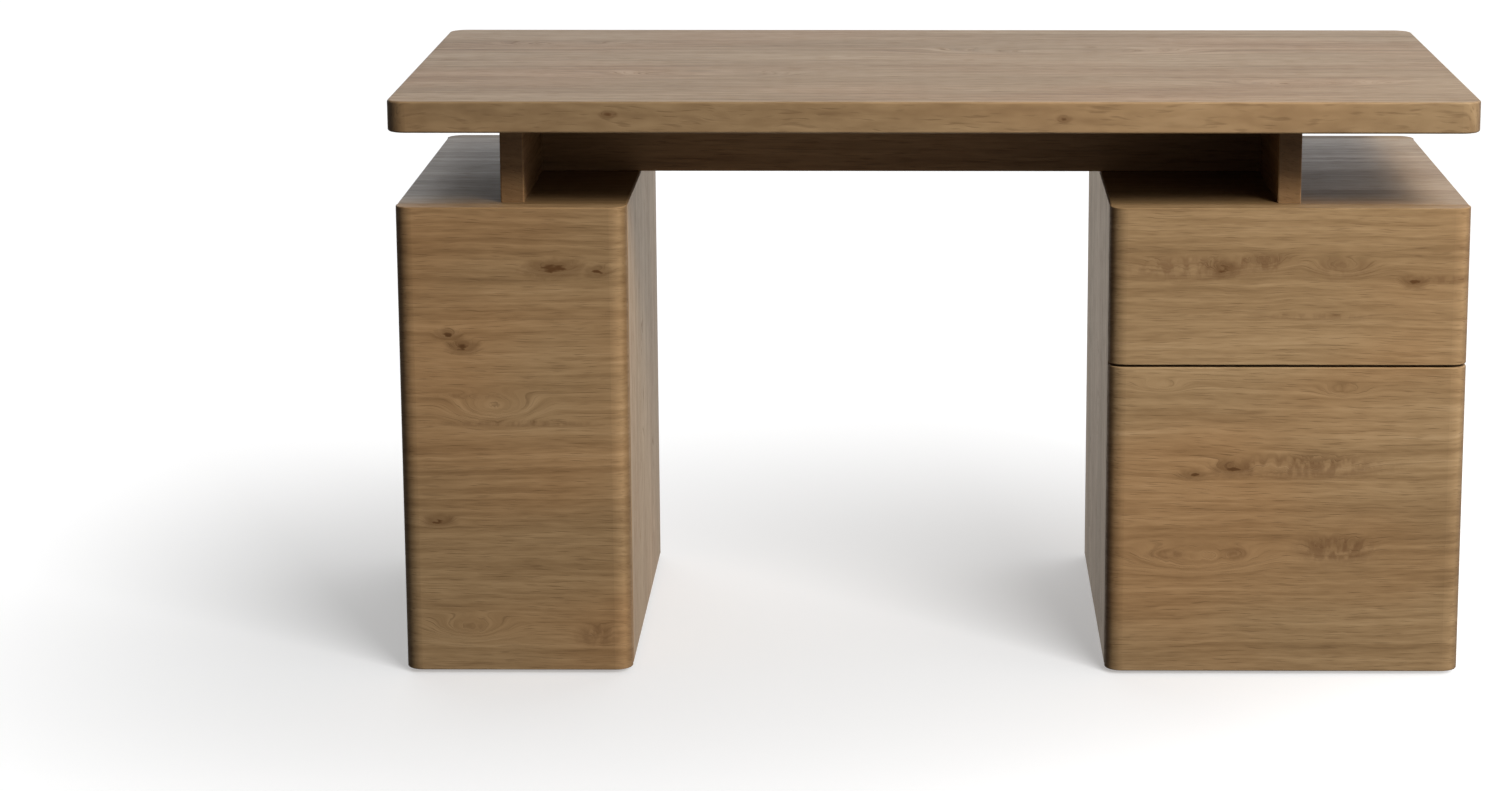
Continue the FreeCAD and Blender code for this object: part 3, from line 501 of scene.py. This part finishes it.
def facing(tree, axes):
    """How squarely the surface faces along each of these axes, either way."""
    parts = parts_of(tree, add_node(tree, "TexCoord").outputs["Normal"], axes)
    return [sum_of(tree, "ABSOLUTE", part) for part in parts]


def end_grain(tree, directions):
    """1 where a face cuts straight across the grain, and 0 where it lies along it."""
    return slope(tree, facing(tree, directions[0])[0], END_TURN_SHARES)


def rubbed_and_highlit_edges(tree, place):
    """A rounded edge faces between the axes of its board, and there hands rub the oil off; its paler tone is
    also a painted highlight.
    """
    x, y, z = facing(tree, "XYZ")
    straight = sum_of(tree, "MAXIMUM", sum_of(tree, "MAXIMUM", x, y), z)
    worn_and_highlit = slope(tree, noise(tree, place, WEAR_AND_HIGHLIGHT_PER_M), WEAR_AND_HIGHLIGHT_STEP_SHARES, LEAST_WEAR_AND_HIGHLIGHT_SHARE, WEAR_AND_HIGHLIGHT_SHARE)
    return sum_of(tree, "MULTIPLY", slope(tree, straight, EDGE_TURN_SHARES), worn_and_highlit)


print("end grain and rubbed edges ready")

# %% Oak: its colour, with dark marks, end grain, rubbed edges with a painted highlight, and warm patches
END_SHARE = 0.5
WEAR_AND_HIGHLIGHT_TINT = (1.09, 1.10, 1.11)
WARMTH_PER_M = (1.8, 4.0, 4.0)
WARMTH_SHARES = (0.42, 0.68)
WARM_TINT = (1.02, 0.93, 0.86)


def oak_colour(tree, place, share, marks, ends, tint):
    # The tint scales a part's tones: for the fronts and frame it is painted light, for the slab painted
    # shade.
    tones = [(at, [part * light for part, light in zip(rgb, tint)]) for at, rgb in OAK_TONES]
    tone = tone_ramp(tree, share, tones)
    warmth = slope(tree, noise(tree, place, WARMTH_PER_M), WARMTH_SHARES)
    tone = mixed(tree, warmth, tone, colour(WARM_TINT), "MULTIPLY")
    tone = mixed(tree, marks, tone, colour(PORE_BROWN))
    tone = mixed(tree, sum_of(tree, "MULTIPLY", ends, END_SHARE), tone, colour(END_BROWN))
    # Rounded edges are paler: partly rubbed wear, partly a painted highlight.
    return mixed(tree, rubbed_and_highlit_edges(tree, place), tone, colour(WEAR_AND_HIGHLIGHT_TINT), "MULTIPLY")


print("oak colours ready")

# %% Oak: fine dark lines, open pores and the relief they leave
LINES_PER_M = (9.0, 260.0, 40.0)
LINE_STEP_SHARES = (0.58, 0.74)
LINE_SHARE = 0.32
PORES_PER_M = (30.0, 620.0, 160.0)
PORE_STEP_SHARES = (0.56, 0.74)
PORE_SHARE = 0.36


def oak_marks(tree, flow):
    """The pores alone, and the pores together with the dark lines."""
    lines = slope(tree, noise(tree, flow, LINES_PER_M), LINE_STEP_SHARES, 0.0, LINE_SHARE)
    pores = slope(tree, noise(tree, flow, PORES_PER_M, COARSE_LAYERS), PORE_STEP_SHARES)
    return pores, sum_of(tree, "MAXIMUM", lines, sum_of(tree, "MULTIPLY", pores, PORE_SHARE))


def relief(tree, shader, height, depth, strength_share):
    """Shades the surface as if the pattern were this many metres deep."""
    bump = add_node(tree, "Bump", {"Strength": strength_share, "Distance": depth, "Height": height})
    feed(tree, shader.inputs["Normal"], bump.outputs[0])


print("oak marks ready")

# %% Oak: the whole finish
TONE_STEP_SHARES = (0.3, 0.7)
OAK_ROUGH_DARK = 0.54
OAK_ROUGH_PALE = 0.42
PORE_ROUGH = 0.15
OAK_RELIEF_DEPTH = 0.0005
OAK_RELIEF_SHARE = 0.35
PLAIN_TINT = (1.0, 1.0, 1.0)
MATT_OIL = 0.32
RUBBED_OIL = 0.5
WAXED = 0.75
BRUSHED_SHARE = 1.0
SMOOTHED_SHARE = 0.74
SATIN_SHARE = 0.84


def oak_finish(name, directions, figures=(), shift=NO_SHIFT, tint=PLAIN_TINT, polish=MATT_OIL,
               rough_share=BRUSHED_SHARE):
    finish, tree, shader = new_finish(name)
    feed(tree, shader.inputs["Specular IOR Level"], polish)
    place = board_place(tree, directions, shift)
    height, flow, knots, stains, across = oak_lines(tree, place, figures)
    share = oak_share(tree, place, height, flow, across)
    pores, marks = oak_marks(tree, flow)
    tone = oak_colour(tree, place, share, marks, end_grain(tree, directions), tint)
    if figures:
        tone = mixed(tree, stains, tone, colour(STAIN_BROWN))
        tone = mixed(tree, knots, tone, colour(KNOT_BROWN))
    feed(tree, shader.inputs["Base Color"], tone)

    rough_dark, rough_pale = OAK_ROUGH_DARK * rough_share, OAK_ROUGH_PALE * rough_share
    rough = slope(tree, share, TONE_STEP_SHARES, rough_dark, rough_pale)
    feed(tree, shader.inputs["Roughness"], sum_of(tree, "MULTIPLY_ADD", pores, PORE_ROUGH, rough))
    relief(tree, shader, sum_of(tree, "SUBTRACT", share, pores), OAK_RELIEF_DEPTH, OAK_RELIEF_SHARE)
    return finish


print("oak recipe ready")

# %% [markdown]
# ## The fronts
# The door and both drawer fronts are cut from wide boards with the grain running across.
# Their knots and figures are what makes this desk recognisable, so each is listed where it shows.
# All three boards share one finish, and the lines run on from one drawer to the next.

# %% Figures of the three fronts
FRONT_FIGURES = (
    Figure(-0.484, 0.539, 0.058, 0.017, 0.016, 0.46),
    Figure(-0.428, 0.536, 0.030, 0.013, 0.010, 0.30),
    Figure(-0.621, 0.453, 0.024, 0.012, 0.014, 0.34),
    Figure(-0.602, 0.437, 0.030, 0.015, 0.016, 0.38),
    Figure(-0.562, 0.354, 0.085, 0.034, 0.036, 0.0, 0.010),
    Figure(-0.530, 0.336, 0.140, 0.006, 0.008, 0.0, 0.004, 0.42),
    Figure(-0.600, 0.372, 0.060, 0.005, 0.004, 0.0, 0.004, 0.30),
    Figure(-0.638, 0.206, 0.030, 0.012, 0.014, 0.32),
    Figure(-0.435, 0.053, 0.040, 0.022, 0.008, 0.0, 0.020, 0.45),
    Figure(-0.600, 0.060, 0.075, 0.026, 0.028, 0.0, 0.012),
    Figure(0.325, 0.541, 0.115, 0.022, 0.010, 0.0, 0.014, 0.50),
    Figure(0.373, 0.539, 0.030, 0.016, 0.014, 0.36),
    Figure(0.420, 0.547, 0.062, 0.016, 0.016, 0.0, 0.012, 0.55),
    Figure(0.522, 0.540, 0.060, 0.020, 0.020, 0.0, 0.006, 0.30),
    Figure(0.613, 0.523, 0.024, 0.014, 0.012, 0.34),
    Figure(0.655, 0.526, 0.055, 0.008, 0.006, 0.0, 0.004, 0.45),
    Figure(0.487, 0.478, 0.110, 0.006, 0.006, 0.0, 0.003, 0.30),
    Figure(0.478, 0.280, 0.150, 0.023, 0.010, 0.0, 0.020, 0.55),
    Figure(0.386, 0.277, 0.042, 0.016, 0.014, 0.24),
    Figure(0.338, 0.269, 0.030, 0.010, 0.010, 0.28),
    Figure(0.524, 0.171, 0.072, 0.027, 0.010, 0.0, 0.024, 0.60),
    Figure(0.394, 0.164, 0.022, 0.012, 0.010, 0.0, 0.006, 0.45),
    Figure(0.302, 0.163, 0.034, 0.009, 0.008, 0.0, 0.006, 0.45),
    Figure(0.347, 0.156, 0.120, 0.030, 0.034, 0.0, 0.012),
    Figure(0.292, 0.386, 0.050, 0.014, 0.012, 0.0, 0.008),
    Figure(0.529, 0.380, 0.050, 0.014, 0.012, 0.0, 0.012),
)
# The fronts are made paler and cooler: painted light, and a painted sheen for the shine the key lamp leaves
# off.
FRONT_PAINTED_LIGHT_TINT = (1.07, 1.08, 1.13)
front_oak = oak_finish("front_oak", "XZY", FRONT_FIGURES, tint=FRONT_PAINTED_LIGHT_TINT)
print("front figures:", len(FRONT_FIGURES))

# %% [markdown]
# ## Slab, frame and cases
# The slab's grain runs along its length. The risers run from front to back, and the beam from side to side.
# The cases are mitred, so the grain climbs one side, crosses the top and goes down the other side.
# One recipe serves them all: the directions change, and a shift so that no two boards are alike.
# The slab's tint paints shade into it, and the frame's tint paints light into the risers and beam, which
# stand in shade.

# %% Figures of the other boards
SLAB_FIGURES = (
    Figure(-0.300, -0.120, 0.260, 0.060, 0.060),
    Figure(0.180, 0.110, 0.300, 0.070, 0.075),
    Figure(0.480, -0.200, 0.200, 0.050, 0.050),
    Figure(-0.520, 0.190, 0.160, 0.045, 0.045),
    Figure(-0.408, -0.357, 0.014, 0.008, 0.003, 0.65, deep=0.746, thick=0.007),
    Figure(0.163, -0.357, 0.012, 0.008, 0.003, 0.60, deep=0.740, thick=0.007),
)
SIDE_FIGURES = (
    Figure(0.340, -0.060, 0.180, 0.050, 0.050),
    Figure(0.150, 0.130, 0.140, 0.040, 0.044),
)
BACK_FIGURES = (
    Figure(-0.560, 0.260, 0.130, 0.040, 0.044),
    Figure(-0.470, 0.480, 0.032, 0.014, 0.016, 0.30),
    Figure(0.420, 0.400, 0.160, 0.044, 0.050),
    Figure(0.560, 0.180, 0.030, 0.014, 0.016, 0.30),
)
print("other figures:", len(SLAB_FIGURES) + len(SIDE_FIGURES) + len(BACK_FIGURES))

# %% Oak of the other boards
# The slab is made darker and greyer: painted shade against the strong light on its top, and a painted grey
# sheen.
SLAB_PAINTED_SHADE_TINT = (0.92, 0.94, 1.0)
# The risers and beam are made paler: painted light, as they stand in shade under the slab.
FRAME_PAINTED_LIGHT_TINT = (1.28, 1.16, 1.12)
BACK_SHIFT = (0.0, 0.0, 0.9)
TOP_SHIFT = (0.7, 0.0, 0.4)
RISER_SHIFT = (0.3, 0.0, 0.2)
BEAM_SHIFT = (0.2, 0.3, 0.5)

slab_oak = oak_finish("slab_oak", "XYZ", SLAB_FIGURES, tint=SLAB_PAINTED_SHADE_TINT, polish=RUBBED_OIL)
side_oak = oak_finish("side_oak", "ZYX", SIDE_FIGURES, polish=WAXED, rough_share=SMOOTHED_SHARE)
back_oak = oak_finish("back_oak", "XZY", BACK_FIGURES, BACK_SHIFT)
top_oak = oak_finish("top_oak", "XYZ", (), TOP_SHIFT, polish=WAXED, rough_share=SATIN_SHARE)
riser_oak = oak_finish("riser_oak", "YZX", (), RISER_SHIFT, FRAME_PAINTED_LIGHT_TINT)
beam_oak = oak_finish("beam_oak", "XZY", (), BEAM_SHIFT, FRAME_PAINTED_LIGHT_TINT)
other_oaks = (slab_oak, side_oak, back_oak, top_oak, riser_oak, beam_oak)
print("oak finishes:", [oak.name for oak in other_oaks])

# %% [markdown]
# ## Birch, beech and the hardware
# Drawer boxes are pale birch under clear lacquer, and the dowels plain beech.
# The slides and bolts are zinc plated, the hanging rails powder coated, the hinges brass and the small
# catches nylon. None of these shows while the desk is shut, but they do once it opens, so each gets its
# own texture.

# %% Pale woods: birch and beech
BIRCH_TONES = ((0.30, (0.47, 0.335, 0.20)), (0.50, (0.60, 0.455, 0.295)), (0.72, (0.69, 0.545, 0.375)))
BEECH_TONES = ((0.30, (0.40, 0.25, 0.14)), (0.52, (0.52, 0.345, 0.205)), (0.72, (0.60, 0.42, 0.265)))
FIBRES_PER_M = (7.0, 240.0, 120.0)
FIBRE_SHARE = 0.55
CLOUDS_PER_M = (3.0, 14.0, 14.0)
CLOUD_SHARE = 0.45
FLECKS_PER_M = (90.0, 700.0, 300.0)
FLECK_STEP_SHARES = (0.60, 0.75)
BIRCH_FLECK_SHARE = 0.25
SHEET_FLECK_SHARE = 0.20
BEECH_FLECK_SHARE = 0.60
PALE_END_SHARE = 0.55
LACQUER_ROUGH_DARK, LACQUER_ROUGH_PALE = 0.48, 0.36
FIBRE_DEPTH = 0.0003
FIBRE_RELIEF_SHARE = 0.25


def pale_wood(name, directions, tones, fleck_share):
    finish, tree, shader = new_finish(name)
    darkest = colour(tones[0][1])
    place = board_place(tree, directions)
    fibres = noise(tree, place, FIBRES_PER_M, FINE_LAYERS, GRITTY_SHARE)
    clouds = noise(tree, place, CLOUDS_PER_M)
    flecks = slope(tree, noise(tree, place, FLECKS_PER_M, COARSE_LAYERS), FLECK_STEP_SHARES)
    share = weighed(tree, ((fibres, FIBRE_SHARE), (clouds, CLOUD_SHARE)), 0.0)
    tone = tone_ramp(tree, share, tones)
    tone = mixed(tree, sum_of(tree, "MULTIPLY", flecks, fleck_share), tone, darkest)
    ends = sum_of(tree, "MULTIPLY", end_grain(tree, directions), PALE_END_SHARE)
    feed(tree, shader.inputs["Base Color"], mixed(tree, ends, tone, darkest))
    rough = slope(tree, share, TONE_STEP_SHARES, LACQUER_ROUGH_DARK, LACQUER_ROUGH_PALE)
    feed(tree, shader.inputs["Roughness"], rough)
    relief(tree, shader, fibres, FIBRE_DEPTH, FIBRE_RELIEF_SHARE)
    return finish


birch_lengthwise = pale_wood("birch_lengthwise", "YZX", BIRCH_TONES, BIRCH_FLECK_SHARE)
birch_crosswise = pale_wood("birch_crosswise", "XZY", BIRCH_TONES, BIRCH_FLECK_SHARE)
birch_sheet = pale_wood("birch_sheet", "XYZ", BIRCH_TONES, SHEET_FLECK_SHARE)
beech = pale_wood("beech", "YZX", BEECH_TONES, BEECH_FLECK_SHARE)
print("pale woods:", birch_lengthwise.name, birch_crosswise.name, birch_sheet.name, beech.name)

# %% Metals: rolled zinc plate and drawn brass
ZINC_TONES = ((0.30, (0.44, 0.45, 0.46)), (0.52, (0.56, 0.57, 0.58)), (0.75, (0.66, 0.665, 0.67)))
BRASS_TONES = ((0.30, (0.42, 0.27, 0.085)), (0.52, (0.56, 0.38, 0.14)), (0.75, (0.66, 0.47, 0.21)))
ZINC_SMOOTH, ZINC_DULL = 0.28, 0.42
BRASS_SMOOTH, BRASS_DULL = 0.22, 0.38
ROLL_LINES_PER_M = (9.0, 1500.0, 1500.0)
ROLL_LINE_SHARE = 0.4
ROLL_LINE_DEPTH = 0.0001
ROLL_RELIEF_SHARE = 0.15
TARNISH_PER_M = (45.0, 45.0, 45.0)
TARNISH_SHARE = 0.6


def metal(name, directions, tones, smooth, dull):
    finish, tree, shader = new_finish(name)
    feed(tree, shader.inputs["Metallic"], WHOLE)
    place = board_place(tree, directions)
    lines = noise(tree, place, ROLL_LINES_PER_M)
    tarnish = noise(tree, place, TARNISH_PER_M, FINE_LAYERS)
    share = weighed(tree, ((lines, ROLL_LINE_SHARE), (tarnish, TARNISH_SHARE)), 0.0)
    feed(tree, shader.inputs["Base Color"], tone_ramp(tree, share, tones))
    feed(tree, shader.inputs["Roughness"], slope(tree, tarnish, TONE_STEP_SHARES, smooth, dull))
    relief(tree, shader, lines, ROLL_LINE_DEPTH, ROLL_RELIEF_SHARE)
    return finish


zinc = metal("zinc", "YZX", ZINC_TONES, ZINC_SMOOTH, ZINC_DULL)
brass = metal("brass", "ZXY", BRASS_TONES, BRASS_SMOOTH, BRASS_DULL)
print("metals:", zinc.name, brass.name)

# %% Powder coat and nylon: a fine pebbled skin
COAT_TONES = ((0.3, (0.012, 0.012, 0.013)), (0.7, (0.028, 0.028, 0.030)))
NYLON_TONES = ((0.3, (0.20, 0.205, 0.21)), (0.7, (0.28, 0.285, 0.29)))
COAT_SMOOTH, COAT_DULL = 0.38, 0.50
NYLON_SMOOTH, NYLON_DULL = 0.45, 0.60
PEBBLES_PER_M = (900.0, 900.0, 900.0)
PEBBLE_DEPTH = 0.0002
PEBBLE_RELIEF_SHARE = 0.3
MOTTLE_PER_M = (60.0, 60.0, 60.0)


def pebbled(name, tones, smooth, dull):
    finish, tree, shader = new_finish(name)
    place = board_place(tree, "XYZ")
    pebbles = noise(tree, place, PEBBLES_PER_M, COARSE_LAYERS)
    mottle = noise(tree, place, MOTTLE_PER_M)
    feed(tree, shader.inputs["Base Color"], tone_ramp(tree, mottle, tones))
    feed(tree, shader.inputs["Roughness"], slope(tree, mottle, TONE_STEP_SHARES, smooth, dull))
    relief(tree, shader, pebbles, PEBBLE_DEPTH, PEBBLE_RELIEF_SHARE)
    return finish


black_coat = pebbled("black_coat", COAT_TONES, COAT_SMOOTH, COAT_DULL)
grey_nylon = pebbled("grey_nylon", NYLON_TONES, NYLON_SMOOTH, NYLON_DULL)
print("coats:", black_coat.name, grey_nylon.name)

# %% [markdown]
# ## Dressing the pieces
# Each solid names a material slot in the record. Most slots have one finish. For wood the finish also
# depends on which way the board runs, so a few name endings decide that first.

# %% Which finish each piece takes
FINISH_BY_ENDING = (
    ("_riser", riser_oak), ("cross_beam", beam_oak), ("_back_panel", back_oak),
    ("_case_top", top_oak), ("_case_bottom", top_oak), ("left_shelf", top_oak), ("drawer_divider", back_oak),
    ("_outer_side", side_oak), ("_inner_side", side_oak),
    ("_box_left_side", birch_lengthwise), ("_box_right_side", birch_lengthwise),
    ("_box_front", birch_crosswise), ("_box_back", birch_crosswise), ("_box_bottom", birch_sheet),
)
FINISH_BY_SLOT = {
    "oak_slab": slab_oak, "oak_fronts": front_oak, "beech_dowel": beech, "zinc_steel": zinc,
    "black_steel": black_coat, "hinge_brass": brass, "grey_nylon": grey_nylon,
}


def finish_of(node_name, slot_name):
    for ending, finish in FINISH_BY_ENDING:
        if node_name.endswith(ending):
            return finish
    return FINISH_BY_SLOT[slot_name]


for piece in frame["record"]["subparts"]:
    solid = frame["nodes"][piece["node"]]
    solid.data.materials.clear()
    solid.data.materials.append(finish_of(piece["node"], piece["material_slot"]))
print("dressed pieces:", len(frame["nodes"]))

# %% [markdown]
# ## Closing

# %% The end
import json
